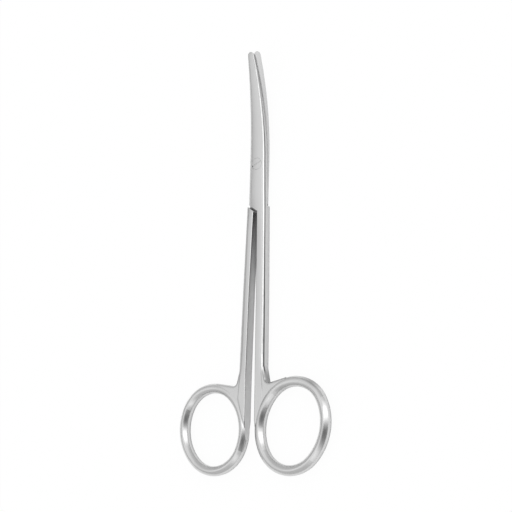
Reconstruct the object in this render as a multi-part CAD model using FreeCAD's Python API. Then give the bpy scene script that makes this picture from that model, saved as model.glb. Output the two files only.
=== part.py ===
import FreeCAD, Part
import math
import os
from FreeCAD import Vector

# Curved dissecting scissors, closed and lying on their back.
# Two forged halves cross at a lap joint and turn on one flush slotted screw.
# Frame in millimetres: the pivot axis is Z, the tips point along +Y and curve up, and the
# backs of the joint, the shanks and the rings lie in the plane z = 0.
# Each half is one forging: a bar that runs from the blade tip to the ring, cut to half its
# thickness where it crosses the other, and a finger ring.
# "side" is +1 for the front half, whose ring is at +X, and -1 for the back half: the back
# half's bar is the front half's, turned half a turn about its own middle line.

# Lengths along the scissors, from the pivot
pivot_to_tip = 39.1
pivot_to_ring = 90.3
ring_to_neck = 18.0
pivot_to_neck = pivot_to_ring - ring_to_neck
curve_start = 2.5
curve_radius = 124.0

# Lap joint
joint_thickness = 3.9
joint_half_width = 3.35
heel_half_width = 3.1
ride_gap = 0.05
shoulder_on_axis = 16.15
shoulder_slope = 0.67
shoulder_gap = 1.0

# Blades: the rounding of the spine is a share of the blade's thickness there, and so is the
# least width and height left at the very end of the nose, a share of the blade's before it
tip_half_width = 2.35
edge_fall_power = 1.6
tip_thickness = 0.75
thinning_power = 2.5
nose_radius = 1.1
nose_end_width = 0.12
nose_end_height = 0.45
spine_round = 0.85
edge_round = 0.6

# Shanks, measured from the middle plane outwards
shank_at_shoulder = 3.65
shank_at_middle = 4.35
shank_at_neck = 4.9
shank_middle = (shoulder_on_axis + pivot_to_neck) / 2
neck_thickness = 4.2
joint_round = 0.75
neck_round = 1.05
# Below the neck the shank runs flush into the side of its ring, where it is cut flat. Its
# sections there and the place where it is still of full thickness are shares of the way from
# the ring's middle to the neck, and it ends past the middle, where the flat leaves the ring
shank_end_steps = (-0.24, -0.08, 0.12, 0.55)
shank_full_from = 0.12
shank_end_height = 0.5
neck_flare = 0.1
ring_flat = 0.35
inner_round = 0.35
front_inner_top = 0.48
front_inner_middle = 1.3
back_inner_top = 1.0
back_inner_middle = 1.85

# Finger rings: half sizes of the tube's middle line, how much smaller its radius at the ends is
# than the half width, the width of the tube and the lean of the ring's long axis
ring_thickness = 4.4
front_ring_x = 15.9
front_ring_half_width = 12.6
front_ring_half_length = 14.7
front_ring_end_tighter = 1.0
front_ring_tube = 3.5
front_ring_lean = 9.0
back_ring_x = 15.4
back_ring_half_width = 12.05
back_ring_half_length = 14.05
back_ring_end_tighter = 0.95
back_ring_tube = 3.25
back_ring_lean = 12.0

# Web between each ring and its shank: its edge leaves the ring at this angle, along the ring's
# tangent, runs to a corner this far out from the shank and turns up into the shank's side
neck_web_angle = 112.0
neck_web_low_angle = 145.0
neck_web_low_share = 0.28
neck_web_thickness = 3.9
neck_corner_out = 1.25
neck_corner_round = 1.3
neck_web_height = 4.6
neck_web_sink = 0.1
neck_web_overlap = 1.0

# Pivot screw
screw_head_radius = 2.0
screw_head_height = 0.9
screw_shank_radius = 1.4
running_clearance = 0.05
slot_width = 0.45
slot_depth = 0.35
slot_angle = 24.0

# Sections along the bars
blade_steps = 7
nose_steps = 3

# Cutting tools reach half a blade's length past what they cut, and the lap joint's this far past
# the tip
reach = pivot_to_tip / 2
past_tip = 2.0


def station_slope(stations, index):
    """Slope of the curve at a station: level where the values stop rising or falling."""
    before = stations[max(index - 1, 0)]
    after = stations[min(index + 1, len(stations) - 1)]
    here = stations[index][1]
    inside = 0 < index < len(stations) - 1
    if inside and (here - before[1]) * (after[1] - here) <= 0:
        return 0.0
    return (after[1] - before[1]) / (after[0] - before[0])


def between(stations, y):
    """Smooth curve through (y, value) stations that rise in y, level beyond both ends."""
    if y <= stations[0][0]:
        return stations[0][1]
    if y >= stations[-1][0]:
        return stations[-1][1]
    index = max(i for i in range(len(stations) - 1) if stations[i][0] <= y)
    (y0, v0), (y1, v1) = stations[index], stations[index + 1]
    slope0 = station_slope(stations, index)
    slope1 = station_slope(stations, index + 1)
    step = y1 - y0
    t = (y - y0) / step
    return (v0 * (1 + 2 * t) * (1 - t) ** 2 + v1 * t * t * (3 - 2 * t)
            + step * t * (1 - t) * (slope0 * (1 - t) - slope1 * t))


def middle_height(y):
    """Height of the surface where the two halves meet: level, then an arc that curves up."""
    if y > curve_start:
        run = y - curve_start
        return joint_thickness / 2 + curve_radius - math.sqrt(curve_radius ** 2 - run ** 2)
    level_from = -shoulder_on_axis - shoulder_gap
    return between([(-pivot_to_neck, ring_thickness / 2), (level_from, joint_thickness / 2)], y)


def blade_share(y):
    """0 at the pivot, 1 at the tip."""
    return min(max(y / pivot_to_tip, 0.0), 1.0)


def nose_share(y):
    """1 along the blade, falling to 0 round the nose at the tip."""
    past = (y - (pivot_to_tip - nose_radius)) / nose_radius
    return math.sqrt(max(1 - max(past, 0.0) ** 2, 0.0))


def spine_side(y):
    """Distance of the blade's thick back from the middle plane."""
    return joint_half_width + (tip_half_width - joint_half_width) * blade_share(y) ** 2


def edge_side(y):
    """Distance from the middle plane of the cutting edge, the heel and the shank's outside."""
    if y > 0:
        return heel_half_width * (1 - blade_share(y) ** edge_fall_power)
    return between([(-pivot_to_neck, shank_at_neck), (-shank_middle, shank_at_middle),
                    (-shoulder_on_axis - shoulder_gap, shank_at_shoulder), (0, heel_half_width)], y)


def ring_sizes(side):
    """Width and lean of one half's finger ring."""
    return (front_ring_tube, front_ring_lean) if side > 0 else (back_ring_tube, back_ring_lean)


def ring_arcs(side):
    """The ring's oval as four arcs: (across, along, radius, first angle, turn) of each.

    Across runs out from the shank and along towards the tips; 0 degrees is outwards.
    """
    half_width, half_length, tighter = front_ring_half_width, front_ring_half_length, front_ring_end_tighter
    if side < 0:
        half_width, half_length, tighter = back_ring_half_width, back_ring_half_length, back_ring_end_tighter
    end = half_width - tighter
    end_centre = half_length - end
    # The large arcs meet the end arcs in a common tangent
    large = (half_length ** 2 + half_width ** 2 - 2 * half_length * end) / (2 * (half_width - end))
    side_centre = large - half_width
    meet = math.degrees(math.atan2(end_centre, side_centre))
    return [(-side_centre, 0, large, -meet, 2 * meet), (0, end_centre, end, meet, 180 - 2 * meet),
            (side_centre, 0, large, 180 - meet, 2 * meet), (0, -end_centre, end, 180 + meet, 180 - 2 * meet)]


def ring_place(side, across, along):
    """Point of the model from a distance across and along one half's ring."""
    ring_x = front_ring_x if side > 0 else back_ring_x
    lean = math.radians(ring_sizes(side)[1])
    x = ring_x + across * math.cos(lean) + along * math.sin(lean)
    return Vector(side * x, -pivot_to_ring - across * math.sin(lean) + along * math.cos(lean), 0)


def top_arc_point(side, grow, angle):
    """Point of the arc at the ring's top, grown by so much."""
    across, along, radius, _, _ = ring_arcs(side)[1]
    turn = math.radians(angle)
    return ring_place(side, across + (radius + grow) * math.cos(turn), along + (radius + grow) * math.sin(turn))


def ring_side_x(side, y, grow):
    """Distance from the middle plane of the arc beside the shank, grown by so much, at y."""
    across, along, radius, _, _ = ring_arcs(side)[2]
    centre = ring_place(side, across, along)
    return side * centre.x - math.sqrt((radius + grow) ** 2 - (y - centre.y) ** 2)


def above_ring(share):
    """Height at a share of the way from the ring's middle to the neck."""
    return -pivot_to_ring + share * ring_to_neck


def inner_side(side, y):
    """Distance of the shank's inner side from the middle plane: a parabola down to the ring."""
    inner_top = front_inner_top if side > 0 else back_inner_top
    inner_middle = front_inner_middle if side > 0 else back_inner_middle
    inner_ring = ring_side_x(side, -pivot_to_ring, ring_sizes(side)[0] / 2) + ring_flat
    top = shank_top(side)
    t = (top - y) / (top + pivot_to_ring)
    return inner_top * (1 - t) * (1 - 2 * t) + 4 * inner_middle * t * (1 - t) + inner_ring * t * (2 * t - 1)


def outer_round(y):
    """Radius of the bar's outer edges: it grows from the joint to the neck."""
    return between([(-pivot_to_neck, neck_round), (-shoulder_on_axis, joint_round)], y)


def shank_top(side):
    """Where the shank's inner side meets the slanting shoulder."""
    return -shoulder_on_axis - shoulder_slope * (front_inner_top if side > 0 else back_inner_top)


def rounded_section(side, y, limits, rounds):
    """Outline of a bar across its length at y: a rectangle with four round corners.

    Limits are left, right, bottom and top, from the middle plane and the meeting surface, as
    on the front half. Rounds go low left, low right, high right, high left.
    """
    left, right, bottom, top = limits
    corners = [(left, bottom, 1, 1), (right, bottom, -1, 1), (right, top, -1, -1), (left, top, 1, -1)]
    points = []
    for index, (x, z, inward, upward) in enumerate(corners):
        radius = rounds[index]
        from_corner = radius * (1 - math.sqrt(0.5))
        beside = (x, z + upward * radius)
        middle = (x + inward * from_corner, z + upward * from_corner)
        level = (x + inward * radius, z)
        points.append((beside, middle, level) if index in (0, 2) else (level, middle, beside))
    height = middle_height(y)
    place = [[Vector(side * x, y, height + side * z) for x, z in corner] for corner in points]
    edges = []
    for index in range(4):
        first, middle, last = place[index]
        edges.append(Part.Arc(first, middle, last).toShape())
        edges.append(Part.LineSegment(last, place[(index + 1) % 4][0]).toShape())
    return Part.Wire(edges)


def blade_section(side, y):
    """Section of the lap joint and the blade: a thick round spine and a thin cutting edge."""
    share = blade_share(y)
    nose = nose_share(y)
    thickness = joint_thickness / 2 + (tip_thickness - joint_thickness / 2) * share ** thinning_power
    top = thickness * (nose_end_height + (1 - nose_end_height) * nose)
    centre = (edge_side(y) - spine_side(y)) / 2
    width = max(nose, nose_end_width)
    left = centre - (spine_side(y) + centre) * width
    right = centre + (edge_side(y) - centre) * width
    flat = min(top, (right - left) / 2)
    spine = spine_round * flat
    outer = min(outer_round(y) + (edge_round - joint_round) * share, flat / 2)
    return rounded_section(side, y, (left, right, -thickness, top), (outer, outer, outer, spine))


def shank_section(side, y):
    """Section of the shank, which runs down into the side of its ring."""
    end = above_ring(shank_end_steps[0])
    stations = [(end, shank_end_height), (above_ring(shank_full_from), neck_thickness / 2),
                (-pivot_to_neck, neck_thickness / 2), (-shoulder_on_axis, joint_thickness / 2)]
    half_height = between(stations, y)
    right = edge_side(y)
    if y < -pivot_to_neck:
        right = min(right - (y + pivot_to_neck) * neck_flare, ring_side_x(side, y, 0))
    inner = min(inner_round, half_height / 2)
    outer = min(outer_round(y), half_height / 2)
    limits = (inner_side(side, y), right, -half_height, half_height)
    return rounded_section(side, y, limits, (inner, outer, outer, inner))


def blade_bar(side):
    """The lap joint and blade of one half before they are cut: a ruled skin over sections."""
    nose_start = pivot_to_tip - nose_radius
    step = (nose_start - curve_start) / blade_steps
    joint = [shank_top(side), 0.0]
    blade = [curve_start + step * index for index in range(blade_steps + 1)]
    turns = [math.radians(90 * index / nose_steps) for index in range(1, nose_steps + 1)]
    nose = [nose_start + nose_radius * math.sin(turn) for turn in turns]
    return Part.makeLoft([blade_section(side, y) for y in joint + blade + nose], True, True)


def shank(side):
    """The shank of one half, from the shoulder down into the ring."""
    low = [above_ring(share) for share in shank_end_steps]
    high = [-pivot_to_neck, -shank_middle, shank_top(side)]
    return Part.makeLoft([shank_section(side, y) for y in low + high], True, True)


def meeting_space(side):
    """What lies past the surface where the halves meet, on the other half's side."""
    start = -shoulder_on_axis - 3 * shoulder_gap
    end = pivot_to_tip + past_tip
    lift = side * ride_gap / 2
    far = -side * reach
    middle = joint_thickness / 2 + lift
    arc_end = Vector(0, end, middle_height(end) + lift)
    half_way = (curve_start + end) / 2
    arc = Part.Arc(Vector(0, curve_start, middle), Vector(0, half_way, middle_height(half_way) + lift), arc_end)
    flat = Part.LineSegment(Vector(0, start, middle), Vector(0, curve_start, middle))
    close = Part.makePolygon([arc_end, Vector(0, end, far), Vector(0, start, far), Vector(0, start, middle)])
    outline = Part.Wire([flat.toShape(), arc.toShape()] + close.Edges)
    space = Part.Face(outline).extrude(Vector(2 * reach, 0, 0))
    space.translate(Vector(-reach, 0, 0))
    on_axis = -shoulder_on_axis - shoulder_gap
    rise = shoulder_slope * reach
    far_end = end + past_tip
    corners = [Vector(-side * reach, on_axis - rise, -2 * reach), Vector(side * reach, on_axis + rise, -2 * reach),
               Vector(side * reach, far_end, -2 * reach), Vector(-side * reach, far_end, -2 * reach)]
    above = Part.Face(Part.makePolygon(corners + corners[:1])).extrude(Vector(0, 0, 4 * reach))
    return space.common(above)


def shoulder_space(side):
    """What lies past the slanting shoulder, beside the shank."""
    corner = Vector(side * inner_side(side, shank_top(side)), shank_top(side), -reach)
    outside = Vector(-side * reach, -shoulder_on_axis + shoulder_slope * reach, -reach)
    outline = Part.makePolygon([corner, outside, Vector(outside.x, corner.y - reach, -reach),
                                Vector(corner.x, corner.y - reach, -reach), corner])
    return Part.Face(outline).extrude(Vector(0, 0, 2 * reach))


def ring_section(side):
    """The tube's section beside the Z axis: an upright ellipse."""
    outline = Part.Ellipse(Vector(0, 0, 0), ring_thickness / 2, ring_sizes(side)[0] / 2).toShape()
    outline.rotate(Vector(0, 0, 0), Vector(0, 1, 0), -90)
    outline.rotate(Vector(0, 0, 0), Vector(0, 0, 1), 90)
    return Part.Face(Part.Wire(outline))


def finger_ring(side):
    """One ring: the elliptical section turned round the centre of each of the ring's four arcs."""
    ring = None
    for across, along, radius, first, turn in ring_arcs(side):
        section = ring_section(side)
        section.translate(Vector(radius, 0, ring_thickness / 2))
        piece = section.revolve(Vector(0, 0, 0), Vector(0, 0, 1), turn)
        piece.rotate(Vector(0, 0, 0), Vector(0, 0, 1), first)
        piece.translate(Vector(across, along, 0))
        ring = ring.fuse(piece) if ring else piece
    ring = ring.removeSplitter()
    ring.rotate(Vector(0, 0, 0), Vector(0, 0, 1), -ring_sizes(side)[1])
    if side < 0:
        ring = ring.mirror(Vector(0, 0, 0), Vector(1, 0, 0))
    ring.translate(ring_place(side, 0, 0))
    return ring


def beside_flat(side):
    """What the flat on a ring's inner side takes away, down to the end of the shank."""
    heights = [above_ring(share) for share in shank_end_steps]
    flat = [Vector(side * inner_side(side, y), y, -reach) for y in heights]
    far = [Vector(0, heights[-1], -reach), Vector(0, heights[0], -reach)]
    return Part.Face(Part.makePolygon(flat + far + flat[:1])).extrude(Vector(0, 0, 2 * reach))


def rounded_corner(first, corner, last, radius):
    """Edges of the path first, corner, last, with an arc of that radius at the corner."""
    one = (first - corner).normalize()
    two = (last - corner).normalize()
    half_angle = one.getAngle(two) / 2
    from_corner = radius / math.tan(half_angle)
    start = corner + one * from_corner
    end = corner + two * from_corner
    middle = (one + two).normalize() * (radius / math.sin(half_angle) - radius)
    return [Part.LineSegment(first, start).toShape(), Part.Arc(start, corner + middle, end).toShape(),
            Part.LineSegment(end, last).toShape()]


def neck_web(side):
    """Metal that fills the crotch between a ring and its shank, up to a small round corner."""
    tube, lean = ring_sizes(side)
    leave = top_arc_point(side, tube / 2, neck_web_angle)
    start = Vector(side * (shank_at_neck - neck_web_sink), leave.y + neck_web_height, 0)
    corner_x = shank_at_neck + neck_corner_out
    fall = math.tan(math.radians(neck_web_angle - 90 - lean))
    corner = Vector(side * corner_x, leave.y - (side * leave.x - corner_x) * fall, 0)
    crotch = rounded_corner(start, corner, leave, neck_corner_round)
    inside_ring = top_arc_point(side, 0, neck_web_angle)
    inside_low = top_arc_point(side, 0, neck_web_low_angle)
    low = above_ring(neck_web_low_share)
    inside_bottom = Vector(side * ring_side_x(side, low, 0), low, 0)
    inside_shank = Vector(start.x - side * neck_web_overlap, low, 0)
    back = Part.makePolygon([leave, inside_ring, inside_low, inside_bottom, inside_shank,
                             Vector(inside_shank.x, start.y, 0), start])
    web = Part.Face(Part.Wire(crotch + back.Edges)).extrude(Vector(0, 0, neck_web_thickness))
    shown = [edge.CenterOfMass for edge in crotch]
    round_edges = [edge for edge in web.Edges
                   if min((edge.CenterOfMass - Vector(0, 0, z) - place).Length
                          for place in shown for z in (0, neck_web_thickness)) < 0.001]
    web = web.makeFillet(neck_round, round_edges)
    web.translate(Vector(0, 0, (ring_thickness - neck_web_thickness) / 2))
    return web


def half(side):
    """One forged half: joint and blade, cut for the lap and the shoulder, with shank and ring."""
    blade = blade_bar(side).cut(shoulder_space(side)).fuse(shank(side)).cut(meeting_space(side))
    return blade.fuse(neck_web(side)).fuse(finger_ring(side).cut(beside_flat(side)))


def front_half():
    body = half(1)
    hole = Part.makeCylinder(screw_shank_radius + running_clearance, 2 * reach, Vector(0, 0, -reach))
    seat = Part.makeCylinder(screw_head_radius + running_clearance, reach,
                             Vector(0, 0, joint_thickness - screw_head_height - running_clearance))
    return body.cut(hole).cut(seat)


def back_half():
    hole = Part.makeCylinder(screw_shank_radius, 2 * reach, Vector(0, 0, -reach))
    return half(-1).cut(hole)


def pivot_screw():
    """Slotted screw, flush with the front face; its end is flush with the back face."""
    shank = Part.makeCylinder(screw_shank_radius, joint_thickness - screw_head_height / 2)
    head = Part.makeCylinder(screw_head_radius, screw_head_height,
                             Vector(0, 0, joint_thickness - screw_head_height))
    slot = Part.makeBox(3 * screw_head_radius, slot_width, 2 * slot_depth,
                        Vector(-1.5 * screw_head_radius, -slot_width / 2, joint_thickness - slot_depth))
    slot.rotate(Vector(0, 0, 0), Vector(0, 0, 1), slot_angle)
    return shank.fuse(head).cut(slot)


os.makedirs("parts", exist_ok=True)
for name, make in (("front_half", front_half), ("back_half", back_half), ("pivot_screw", pivot_screw)):
    shape = make()
    shape.exportStep("parts/" + name + ".step")
    box = shape.BoundBox
    print(name, shape.ShapeType, len(shape.Solids), "valid", shape.isValid(), "volume %.1f" % shape.Volume,
          "x %.2f..%.2f y %.2f..%.2f z %.2f..%.2f" % (box.XMin, box.XMax, box.YMin, box.YMax, box.ZMin, box.ZMax))
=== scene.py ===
# %% [markdown]
# # Curved dissecting scissors
# Two forged halves of stainless steel cross at a lap joint and turn on one flush screw.
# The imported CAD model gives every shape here, because a forging is one smooth solid. Blender
# adds what makes it look like steel: the satin grain of the shanks and blades, the brighter
# polish of the finger rings, and the soft lamps whose reflections draw the curves.
# Lengths are in metres. The scissors lie on the table, tips towards +Y, and curve up to +Z.

# %% Load the frame
import bpy
import math
from mathutils import Matrix, Vector


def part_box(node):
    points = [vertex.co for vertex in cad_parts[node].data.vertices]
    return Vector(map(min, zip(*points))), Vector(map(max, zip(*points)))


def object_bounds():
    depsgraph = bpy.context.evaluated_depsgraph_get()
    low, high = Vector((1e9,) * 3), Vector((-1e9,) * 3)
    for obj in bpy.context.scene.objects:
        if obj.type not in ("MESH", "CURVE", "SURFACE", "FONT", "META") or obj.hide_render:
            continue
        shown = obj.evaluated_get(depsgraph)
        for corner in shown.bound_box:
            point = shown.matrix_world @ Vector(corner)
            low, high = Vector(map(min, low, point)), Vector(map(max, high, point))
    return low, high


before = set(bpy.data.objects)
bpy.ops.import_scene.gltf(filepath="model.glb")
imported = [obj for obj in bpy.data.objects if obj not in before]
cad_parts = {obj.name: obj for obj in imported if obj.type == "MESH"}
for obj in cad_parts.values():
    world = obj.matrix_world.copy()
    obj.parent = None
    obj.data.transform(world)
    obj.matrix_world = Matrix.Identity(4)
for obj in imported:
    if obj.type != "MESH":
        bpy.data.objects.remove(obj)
CAD_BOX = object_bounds()
MM = 0.001
print("CAD box", [round(v, 4) for v in CAD_BOX[0]], [round(v, 4) for v in CAD_BOX[1]])

# %% [markdown]
# ## A few helpers for shader nodes
# A procedural material is a small graph. These helpers add a node, set its sockets and link
# it in one line, so that each material below reads as a recipe. The last two turn a value that
# runs along the scissors, or round an edge, into one that follows a few straight steps.

# %% Node helpers
def new_material(name):
    material = bpy.data.materials.new(name)
    material.use_nodes = True
    tree = material.node_tree
    tree.nodes.clear()
    return material, tree


def add(tree, kind, inputs=None, **settings):
    """A node of that kind. An input is a value, or another node's output to link."""
    node = tree.nodes.new(kind)
    for name, value in settings.items():
        setattr(node, name, value)
    for name, value in (inputs or {}).items():
        if isinstance(value, bpy.types.NodeSocket):
            tree.links.new(value, node.inputs[name])
        else:
            node.inputs[name].default_value = value
    return node


def calc(tree, operation, first, second=0.0):
    """One sum of a Math node."""
    return add(tree, "ShaderNodeMath", {0: first, 1: second}, operation=operation).outputs[0]


def split(tree, vector):
    """The X, Y and Z of a vector."""
    return add(tree, "ShaderNodeSeparateXYZ", {"Vector": vector}).outputs


def remap(tree, value, old, new):
    """The value moved from the old range to the new one, and kept inside it."""
    node = add(tree, "ShaderNodeMapRange", {
        "Value": value, "From Min": old[0], "From Max": old[1], "To Min": new[0], "To Max": new[1]})
    return node.outputs["Result"]


def by_steps(tree, value, table):
    """What straight lines between the (value, result) points of the table give."""
    result = table[0][1]
    for (start, before), (end, after) in zip(table, table[1:]):
        result = calc(tree, "ADD", result, remap(tree, value, (start, end), (0.0, after - before)))
    return result


# %% [markdown]
# ## Where the surface changes
# Masks tell the steel what it is at each point, all from the piece's own coordinates, so that
# they stay on the piece as it moves: how far it is into the ring, how rounded the edge is there,
# and how deep in a corner it lies. A rounded edge is a place whose normal points along none of
# the main directions. Corners are found with Ambient Occlusion, which shoots short rays, and are
# darkened in the colour as painted shade, as is the gap between the shanks. At the rings and
# towards the tips that painted shade is lifted, so they are never quite dark.

# %% Masks
RING_FROM = -76 * MM
RING_TO = -80 * MM
FLAT_FACE = 0.985
ROUND_EDGE = 0.90
CORNER_REACH = 3 * MM
CORNER_RAYS = 8
DEEP_CORNER = 0.15
OPEN_FACE = 0.62
# How much the painted corner shade is lifted along the scissors: fully at the rings and the tips.
CORNER_SHADE_LIFT = [(-75 * MM, 0.75), (-70 * MM, 0.0), (6 * MM, 0.0), (34 * MM, 1.0)]


def own_place(tree):
    return add(tree, "ShaderNodeTexCoord").outputs["Object"]


def own_normal(tree):
    return add(tree, "ShaderNodeTexCoord").outputs["Normal"]


def ring_mask(tree, along):
    """0 on the shank and the blade, 1 on the finger ring."""
    return remap(tree, along, (RING_FROM, RING_TO), (0.0, 1.0))


def edge_mask(tree):
    """0 on flat faces, 1 on edges that are ground round."""
    normal = split(tree, own_normal(tree))
    sideways = calc(tree, "ABSOLUTE", normal["X"])
    upwards = calc(tree, "ABSOLUTE", normal["Z"])
    flatness = calc(tree, "MAXIMUM", sideways, upwards)
    return remap(tree, flatness, (FLAT_FACE, ROUND_EDGE), (0.0, 1.0))


def painted_corner_mask(tree, along):
    """1 in the open, lower in corners and in the gap between the shanks, where the corner colour is painted
    in: painted shade on the two halves, painted light on the screw.
    """
    rays = add(tree, "ShaderNodeAmbientOcclusion", {"Distance": CORNER_REACH}, samples=CORNER_RAYS)
    seen = remap(tree, rays.outputs["AO"], (DEEP_CORNER, OPEN_FACE), (0.0, 1.0))
    return calc(tree, "MAXIMUM", seen, by_steps(tree, along, CORNER_SHADE_LIFT))


# %% [markdown]
# ## Crown and edge facet
# A shank isn't ground dead flat: belt grinding leaves it a slight crown across, and one small
# facet along its outer edge. Both are a few tenths of a millimetre, too little to change the
# outline, but they make the reflection run from dark to light across the bar. They are drawn as
# a height for a Bump node, in real lengths, so that the slopes come out right. The joint's crown
# is in the middle, and down the shank it moves outwards, as each shank lies on its own side.

# %% The crown of the bars
CROWN_RADIUS = 11 * MM
CROWN_REACH = 4 * MM
CROWN_SHIFT = 2.3 * MM
SHIFT_FROM = -10 * MM
SHIFT_TO = -24 * MM
FACET_WIDTH = 0.45 * MM
FACET_RADIUS = 0.8 * MM
FACET_FROM = 8 * MM
FACET_FULL = 0.0
OUTER_EDGE = [(0.0, 2.35 * MM), (-20 * MM, 2.95 * MM), (-72 * MM, 3.85 * MM)]
BAR_ENDS = -74 * MM
BAR_FULL = -66 * MM


def arc_drop(tree, distance, radius):
    """How far a round surface of that radius has dropped at a small distance from its top."""
    return calc(tree, "MULTIPLY", calc(tree, "POWER", distance, 2.0), 0.5 / radius)


def crown_height(tree, place, side):
    """Height of the crown and the facet. Side is 1 for the front half and -1 for the back half."""
    at = split(tree, place)
    centre = remap(tree, at["Y"], (SHIFT_FROM, SHIFT_TO), (0.0, side * CROWN_SHIFT))
    across = calc(tree, "ABSOLUTE", calc(tree, "SUBTRACT", at["X"], centre))
    crown = arc_drop(tree, calc(tree, "MINIMUM", across, CROWN_REACH), CROWN_RADIUS)
    outwards = calc(tree, "MULTIPLY", at["X"], float(side))
    facet_side = calc(tree, "SUBTRACT", by_steps(tree, at["Y"], OUTER_EDGE), FACET_WIDTH)
    past = calc(tree, "MAXIMUM", calc(tree, "SUBTRACT", outwards, facet_side), 0.0)
    facet = arc_drop(tree, calc(tree, "MINIMUM", past, FACET_WIDTH), FACET_RADIUS)
    facet = calc(tree, "MULTIPLY", facet, remap(tree, at["Y"], (FACET_FROM, FACET_FULL), (0.0, 1.0)))
    on_bar = remap(tree, at["Y"], (BAR_ENDS, BAR_FULL), (0.0, -1.0))
    return calc(tree, "MULTIPLY", calc(tree, "ADD", crown, facet), on_bar)


# %% [markdown]
# ## Flatter flanks of the rings
# A finger ring is struck between two dies, and its tube isn't quite round: the flanks between
# its crest and its sides come out a little flatter. That widens each glint across the tube.
# The shading normal is led towards 45 degrees there. On flat faces it stays as it is.

# %% Ring flanks
FLANK_FLATTENING = 0.18
LEANS_PER_TURN = 4.0


def to_world(tree, normal):
    return add(tree, "ShaderNodeVectorTransform", {"Vector": normal}, vector_type="NORMAL",
               convert_from="OBJECT", convert_to="WORLD").outputs[0]


def scaled(tree, vector, factor):
    return add(tree, "ShaderNodeVectorMath", {0: vector, "Scale": factor}, operation="SCALE").outputs[0]


def flank_normal(tree):
    """The normal, leant by a sine that is 0 on the crest, at 45 degrees and on the sides."""
    normal = split(tree, own_normal(tree))
    level = add(tree, "ShaderNodeCombineXYZ", {"X": normal["X"], "Y": normal["Y"]}).outputs[0]
    sideways = add(tree, "ShaderNodeVectorMath", {0: level}, operation="LENGTH").outputs["Value"]
    lean = calc(tree, "ARCTAN2", sideways, calc(tree, "ABSOLUTE", normal["Z"]))
    wave = calc(tree, "SINE", calc(tree, "MULTIPLY", lean, LEANS_PER_TURN))
    lean = calc(tree, "ADD", lean, calc(tree, "MULTIPLY", wave, FLANK_FLATTENING))
    across = add(tree, "ShaderNodeVectorMath", {0: level}, operation="NORMALIZE").outputs[0]
    across = scaled(tree, across, calc(tree, "SINE", lean))
    height = calc(tree, "MULTIPLY", calc(tree, "COSINE", lean), calc(tree, "SIGN", normal["Z"]))
    rise = add(tree, "ShaderNodeCombineXYZ", {"Z": height}).outputs[0]
    turned = add(tree, "ShaderNodeVectorMath", {0: across, 1: rise}, operation="ADD").outputs[0]
    return to_world(tree, turned)


# %% [markdown]
# ## Necks blended flush
# Where a shank runs into the web of its ring, the two are filed into one face. The CAD model
# keeps a very low step there. Its shading is levelled: on the outward side of the bar, between
# the web's corner and the ring, the normal points straight up.

# %% Necks
NECK_ALONG = [(-85 * MM, 0.0), (-83 * MM, 1.0), (-76 * MM, 1.0), (-74.5 * MM, 0.0)]
STEP_OUTWARDS = (0.15, 0.35)
STEP_ALONG = (0.20, 0.08)
STEP_UPWARDS = (-0.01, 0.01)


def neck_mask(tree, along, side):
    """1 on the low step between a shank and the web of its ring."""
    normal = split(tree, own_normal(tree))
    outwards = calc(tree, "MULTIPLY", normal["X"], float(side))
    mask = by_steps(tree, along, NECK_ALONG)
    for value, limits in ((outwards, STEP_OUTWARDS), (calc(tree, "ABSOLUTE", normal["Y"]), STEP_ALONG),
                          (normal["Z"], STEP_UPWARDS)):
        mask = calc(tree, "MULTIPLY", mask, remap(tree, value, limits, (0.0, 1.0)))
    return mask


# %% [markdown]
# ## Painted light along the edges
# The long edges are rounded on a wheel. On those facing +X the upper part is painted brighter
# than the face, a painted highlight, and a thin painted dark line follows lower on the flank.
# Each is a band of the edge, told by how far the normal leans to the side. Edges facing -X are
# painted a little darker, as painted shade. The bands stop at the necks, whose outward corners
# get a painted shade instead.

# %% Painted highlights and shade along the edges
# Painted highlight and painted dark line on the edges facing +X, painted shade on the far edges and at the
# neck corners.
PAINTED_HIGHLIGHT_BAND = [(0.04, 0.0), (0.15, -0.40), (0.52, -0.40), (0.66, 0.0)]
PAINTED_DARK_LINE_BAND = [(0.74, 0.0), (0.90, 1.0), (0.993, 1.0), (1.0, 0.0)]
PAINTED_DARK_LINE_DEPTH = 0.85
DARK_ALONG = (8 * MM, 34 * MM)
FAR_EDGE = (-0.05, -0.55)
FAR_EDGE_PAINTED_SHADE = 0.25
UPPER_SIDE = (0.0, 0.1)
BANDS_STOP = (-71.5 * MM, -74.5 * MM)
# Painted shade on the necks' outward corners, by place along the scissors.
NECK_PAINTED_SHADE = [(-79 * MM, 0.0), (-76.5 * MM, 0.42), (-73 * MM, 0.42), (-70 * MM, 0.0)]
NECK_CORNER = (0.12, 0.45)


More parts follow.
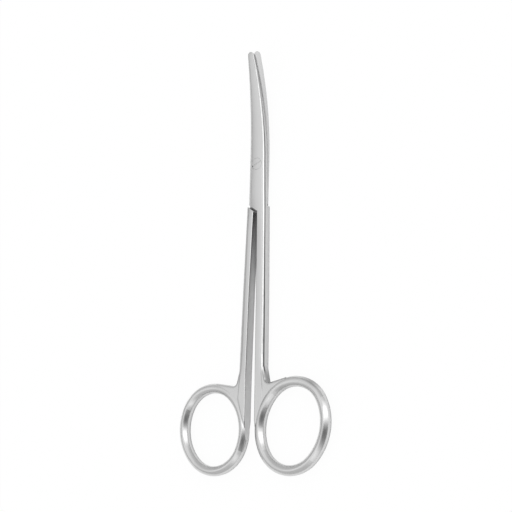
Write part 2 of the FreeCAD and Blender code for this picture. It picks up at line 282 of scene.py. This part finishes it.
def painted_edge_light(tree, along, side):
    """What the steel's colour is multiplied by: 1 on plain faces, painted highlights, painted dark lines
    and painted shade along the edges and at the necks.
    """
    normal = split(tree, own_normal(tree))
    # Painted dark line low on the edges facing +X, fading towards the tips.
    dark = by_steps(tree, normal["X"], PAINTED_DARK_LINE_BAND)
    dark = calc(tree, "MULTIPLY", dark, remap(tree, along, DARK_ALONG, (PAINTED_DARK_LINE_DEPTH, 0.0)))
    # Painted highlight on the upper part of those edges: the colour is made brighter there.
    loss = calc(tree, "ADD", dark, by_steps(tree, normal["X"], PAINTED_HIGHLIGHT_BAND))
    # Painted shade: edges facing -X are painted a little darker.
    loss = calc(tree, "ADD", loss, remap(tree, normal["X"], FAR_EDGE, (0.0, FAR_EDGE_PAINTED_SHADE)))
    loss = calc(tree, "MULTIPLY", loss, remap(tree, normal["Z"], UPPER_SIDE, (0.0, 1.0)))
    loss = calc(tree, "MULTIPLY", loss, remap(tree, along, BANDS_STOP, (1.0, 0.0)))
    outwards = calc(tree, "MULTIPLY", normal["X"], float(side))
    # Painted shade on the outward corners of the necks.
    neck_shade = calc(tree, "MULTIPLY", by_steps(tree, along, NECK_PAINTED_SHADE),
                remap(tree, outwards, NECK_CORNER, (0.0, 1.0)))
    return calc(tree, "SUBTRACT", 1.0, calc(tree, "MAXIMUM", loss, neck_shade))


# %% [markdown]
# ## Satin steel
# Surgical steel is blasted with fine glass beads after it is ground, which leaves a grey, even
# sheen that doesn't dazzle. Under it, faint lines still run along the shanks from grinding.
# Both are noise: an even one for the beads and one drawn out along Y for the lines. They
# work on roughness and on a very low bump, because metal has no colour of its own to vary.
# The rings and the rounded edges are polished for the fingers, so roughness falls there.
# Corners and the gap between the shanks are darkened in the colour as painted shade.

# %% Grain of the steel
BEADS = {"scale": 9000.0, "stretch": (1.0, 1.0, 1.0), "detail": 2.0}
GRIND_LINES = {"scale": 2600.0, "stretch": (1.0, 0.015, 1.0), "detail": 4.0}
PATCHES = {"scale": 160.0, "stretch": (1.0, 0.6, 1.0), "detail": 3.0}


def grain(tree, scale, stretch, detail):
    """Noise in the object's own space, so that it stays on the piece as it moves."""
    mapped = add(tree, "ShaderNodeMapping", {"Vector": own_place(tree), "Scale": stretch}).outputs["Vector"]
    noise = add(tree, "ShaderNodeTexNoise", {"Vector": mapped, "Scale": scale, "Detail": detail})
    return noise.outputs["Fac"]


# %% Normals of the steel
GRAIN_HEIGHT = 0.01 * MM
GRAIN_STRENGTH = 0.14
GRAIN_ON_POLISH = 0.2


def steel_normal(tree, place, along, polish, grains, side):
    """Ring flanks, necks, crown and grain, one laid over the other."""
    plain = add(tree, "ShaderNodeNewGeometry").outputs["Normal"]
    shape = add(tree, "ShaderNodeMix", {
        0: ring_mask(tree, along), 4: plain, 5: flank_normal(tree)}, data_type="VECTOR")
    shape = add(tree, "ShaderNodeMix", {
        0: neck_mask(tree, along, side), 4: shape.outputs[1], 5: to_world(tree, (0.0, 0.0, 1.0))},
        data_type="VECTOR")
    crown = add(tree, "ShaderNodeBump", {
        "Height": crown_height(tree, place, side), "Normal": shape.outputs[1],
        "Strength": 1.0, "Distance": 1.0})
    fine = calc(tree, "MULTIPLY", grains, remap(tree, polish, (0.0, 1.0), (1.0, GRAIN_ON_POLISH)))
    bump = add(tree, "ShaderNodeBump", {
        "Height": fine, "Normal": crown.outputs["Normal"],
        "Strength": GRAIN_STRENGTH, "Distance": GRAIN_HEIGHT})
    return bump.outputs["Normal"]


# %% Satin steel material
STEEL_COLOR = (0.66, 0.66, 0.66, 1.0)
# Painted shade: the dark colour painted into corners and into the gap between the shanks.
PAINTED_CORNER_SHADE_COLOR = (0.12, 0.12, 0.122, 1.0)
MIDDLE_OF_PATCHES = (0.35, 0.65)
MIDDLE_OF_LINES = (0.3, 0.7)
PATCH_ROUGHNESS = 0.02
LINE_ROUGHNESS = 0.05


def steel(name, satin, polished, side, corner=PAINTED_CORNER_SHADE_COLOR):
    material, tree = new_material(name)
    place = own_place(tree)
    along = split(tree, place)["Y"]
    polish = calc(tree, "MAXIMUM", ring_mask(tree, along), edge_mask(tree))
    beads, lines, patches = [grain(tree, **kind) for kind in (BEADS, GRIND_LINES, PATCHES)]

    rough = remap(tree, polish, (0.0, 1.0), (satin, polished))
    rough = calc(tree, "ADD", rough, remap(
        tree, patches, MIDDLE_OF_PATCHES, (-PATCH_ROUGHNESS, PATCH_ROUGHNESS)))
    rough = calc(tree, "ADD", rough, remap(
        tree, lines, MIDDLE_OF_LINES, (-LINE_ROUGHNESS, LINE_ROUGHNESS)))

    # Painted shade: the corner mask mixes the dark corner colour into the steel where Ambient Occlusion
    # finds a corner.
    color = add(tree, "ShaderNodeMix", {
        6: corner, 7: STEEL_COLOR, 0: painted_corner_mask(tree, along)}, data_type="RGBA").outputs[2]
    shader = add(tree, "ShaderNodeBsdfPrincipled", {
        # The painted highlights, painted dark lines and painted shade along the edges multiply the colour
        # here.
        "Base Color": scaled(tree, color, painted_edge_light(tree, along, side)),
        "Metallic": 1.0, "Roughness": rough,
        "Normal": steel_normal(tree, place, along, polish, calc(tree, "ADD", beads, lines), side)})
    add(tree, "ShaderNodeOutputMaterial", {"Surface": shader.outputs[0]})
    print(name, "has", len(tree.nodes), "nodes")
    return material


# %% [markdown]
# ## Dress the pieces
# Each forging gets its own copy of the steel, because its outer side is the other way round. The
# screw is turned from the same steel and ground flush with the joint, so it is satin all over.
# Its slot and corners are painted lighter than the steel, a painted light where they would fall into shade.

# %% Materials on the pieces
SATIN_ROUGHNESS = 0.32
POLISHED_ROUGHNESS = 0.19
SCREW_ROUGHNESS = 0.34
# Painted light: the screw's slot and corners get this lighter colour in place of shade.
SCREW_PAINTED_SLOT_LIGHT = (0.92, 0.92, 0.92, 1.0)
FRONT_SIDE = 1
BACK_SIDE = -1


def dress(node_name, material):
    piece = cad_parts[node_name]
    piece.data.materials.clear()
    piece.data.materials.append(material)
    low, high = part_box(node_name)
    print(node_name, "is", [round((b - a) / MM, 1) for a, b in zip(low, high)], "mm")


front_steel = steel("front satin steel", SATIN_ROUGHNESS, POLISHED_ROUGHNESS, FRONT_SIDE)
back_steel = steel("back satin steel", SATIN_ROUGHNESS, POLISHED_ROUGHNESS, BACK_SIDE)
screw_steel = steel("ground screw steel", SCREW_ROUGHNESS, SCREW_ROUGHNESS, FRONT_SIDE, SCREW_PAINTED_SLOT_LIGHT)
dress("front_half", front_steel)
dress("back_half", back_steel)
dress("pivot_screw", screw_steel)

# %% [markdown]
# ## The table
# A white sheet under the scissors. Its paint takes the soft shadow and is what the steel mirrors.
# To the camera most of it is a plain white of strength 1, so that only a trace of the shadow
# stays, as on a sheet that is lit from below. In reflections a part of it is that white as well.

# %% White sheet
FLOOR_SIZE = 6.0
FLOOR_GAP = 0.02 * MM
WHITE_TO_CAMERA = 0.95
WHITE_TO_REFLECTIONS = 0.20


def white_floor():
    material, tree = new_material("white sheet")
    paint = add(tree, "ShaderNodeBsdfDiffuse", {"Color": (1.0, 1.0, 1.0, 1.0)})
    light = add(tree, "ShaderNodeEmission", {"Color": (1.0, 1.0, 1.0, 1.0), "Strength": 1.0})
    rays = add(tree, "ShaderNodeLightPath").outputs
    mirrored = calc(tree, "MAXIMUM", rays["Is Glossy Ray"], rays["Is Transmission Ray"])
    mirrored = calc(tree, "MULTIPLY", mirrored, WHITE_TO_REFLECTIONS)
    seen = calc(tree, "MULTIPLY", rays["Is Camera Ray"], WHITE_TO_CAMERA)
    mix = add(tree, "ShaderNodeMixShader", {
        0: calc(tree, "ADD", seen, mirrored), 1: paint.outputs[0], 2: light.outputs[0]})
    add(tree, "ShaderNodeOutputMaterial", {"Surface": mix.outputs[0]})
    return material


half_floor = FLOOR_SIZE / 2
corners = [(-half_floor, -half_floor, 0), (half_floor, -half_floor, 0),
           (half_floor, half_floor, 0), (-half_floor, half_floor, 0)]
sheet = bpy.data.meshes.new("table_sheet")
sheet.from_pydata(corners, [], [(0, 1, 2, 3)])
table = bpy.data.objects.new("table_sheet", sheet)
bpy.context.collection.objects.link(table)
sheet.materials.append(white_floor())
table.location.z = CAD_BOX[0].z - FLOOR_GAP
print("floor at", round(table.location.z / MM, 3), "mm")

# %% [markdown]
# ## The room in the reflections
# Steel has little colour of its own: what it shows is the room. A room could be built from lamps
# and walls, but then each would have to be placed by trial. Here it is drawn in the world by
# direction instead: pale overhead and dimmer towards the horizon.

# %% Room level by height
ROOM_LEVEL = [(0, 0.80), (20, 1.04), (40, 0.88), (60, 0.68), (75, 0.64), (180, 0.64)]

world = bpy.data.worlds.new("room")
bpy.context.scene.world = world
world.use_nodes = True
room = world.node_tree
room.nodes.clear()
toward = add(room, "ShaderNodeTexCoord").outputs["Generated"]
from_top = calc(room, "ARCCOSINE", split(room, toward)["Z"])
from_top = calc(room, "DEGREES", from_top)
level = by_steps(room, from_top, ROOM_LEVEL)
print("room level is", ROOM_LEVEL[0][1], "overhead and", ROOM_LEVEL[-1][1], "at the horizon")

# %% [markdown]
# Each lamp is a soft oval spot in the room: full in its middle and nothing at its rim. Its
# place is given by degrees round from +X and degrees down from straight up. A dark gap is the
# same spot, but takes its share of the light away: it leaves the dark patches on the rings.

# %% Lamps and dark gaps
LAMPS = [  # round, down, half width, half height, level
    (20.0, 60.0, 28.0, 58.0, 1.55),    # to the right: the white edge lines and the ring glints
    (-50.0, 56.0, 33.0, 46.0, 0.52),   # beside the ring end: the second glint of each ring
    (172.0, 104.0, 41.0, 58.0, 0.42),  # low on the left: the left flanks of the rings
    (56.0, 54.0, 80.0, 20.0, 0.28),    # a broad band beyond the tips
    (212.0, 44.0, 45.0, 26.0, 0.18)]   # high on the left: the rising tips of the blades
DARK_GAPS = [
    (-13.0, 50.0, 48.0, 64.0, 0.76),   # between the first two lamps
    (-22.0, 88.0, 28.0, 25.0, 0.35),   # under that gap, at the horizon
    (168.0, 68.0, 34.0, 26.0, 0.36)]   # on the left: the darker side of the crowned bars


def spot(around, down, half_width, half_height, strength):
    turned = add(room, "ShaderNodeMapping", {
        "Vector": toward, "Rotation": (0.0, 0.0, math.radians(-around))}).outputs["Vector"]
    flat = split(room, turned)
    angle = calc(room, "ARCTAN2", flat["Y"], flat["X"])
    wide = calc(room, "DIVIDE", angle, math.radians(half_width))
    high = calc(room, "DIVIDE", calc(room, "SUBTRACT", from_top, down), half_height)
    both = add(room, "ShaderNodeCombineXYZ", {"X": wide, "Y": high}).outputs[0]
    away = add(room, "ShaderNodeVectorMath", {0: both}, operation="LENGTH").outputs["Value"]
    soft = add(room, "ShaderNodeMapRange", {
        "Value": away, "From Min": 1.0, "From Max": 0.0, "To Min": 0.0, "To Max": strength},
        interpolation_type="SMOOTHSTEP")
    return soft.outputs["Result"]


for lamp in LAMPS:
    level = calc(room, "ADD", level, spot(*lamp))
for gap in DARK_GAPS:
    level = calc(room, "MULTIPLY", level, calc(room, "SUBTRACT", 1.0, spot(*gap)))
print("room with", len(LAMPS), "lamps and", len(DARK_GAPS), "dark gaps")

# %% [markdown]
# Only mirror rays see that room. The white sheet is lit by a plain level of 1 instead, at which
# a colour renders as written.

# %% World output
PLAIN_LEVEL = 1.0
mirror = add(room, "ShaderNodeLightPath").outputs["Is Glossy Ray"]
strength = add(room, "ShaderNodeMix", {"Factor": mirror, "A": PLAIN_LEVEL, "B": level})
background = add(room, "ShaderNodeBackground", {
    "Color": (1.0, 1.0, 1.0, 1.0), "Strength": strength.outputs[0]})
add(room, "ShaderNodeOutputWorld", {"Surface": background.outputs[0]})
print("world of", len(room.nodes), "nodes")

# %% [markdown]
# ## Camera
# The photograph looks down on the scissors from the right and a little from the ring end. The
# view is turned about two lines: first towards the right side, then towards the rings.

# %% Camera
CAMERA_TO_RIGHT = 34.0
CAMERA_TO_RINGS = 12.066
CAMERA_ROLL = 1.5255
CAMERA_DISTANCE = 0.600
CAMERA_AIM = Vector((0.0, -31.91 * MM, 1.95 * MM))
PICTURE_PIXELS = 512
FOCAL_PIXELS = 1770.0
MIDDLE_PIXEL = 257.35
SENSOR_MM = 36.0

right_turn = math.radians(CAMERA_TO_RIGHT)
ring_turn = math.radians(CAMERA_TO_RINGS)
roll = math.radians(CAMERA_ROLL)
back = Vector((math.sin(right_turn) * math.cos(ring_turn), -math.sin(ring_turn),
               math.cos(right_turn) * math.cos(ring_turn)))
flat_right = Vector((math.cos(right_turn), 0.0, -math.sin(right_turn)))
flat_up = back.cross(flat_right)
right = math.cos(roll) * flat_right + math.sin(roll) * flat_up
up = -math.sin(roll) * flat_right + math.cos(roll) * flat_up

lens = bpy.data.cameras.new("photo_camera")
lens.sensor_width = SENSOR_MM
lens.lens = FOCAL_PIXELS / PICTURE_PIXELS * SENSOR_MM
lens.shift_x = (PICTURE_PIXELS / 2 - MIDDLE_PIXEL) / PICTURE_PIXELS
camera = bpy.data.objects.new("photo_camera", lens)
bpy.context.collection.objects.link(camera)
stand = Matrix((right, up, back)).transposed().to_4x4()
stand.translation = CAMERA_AIM + back * CAMERA_DISTANCE
camera.matrix_world = stand
bpy.context.scene.camera = camera
bpy.context.scene.view_settings.view_transform = "Standard"
print("lens", round(lens.lens, 1), "mm, shift", round(lens.shift_x, 4))
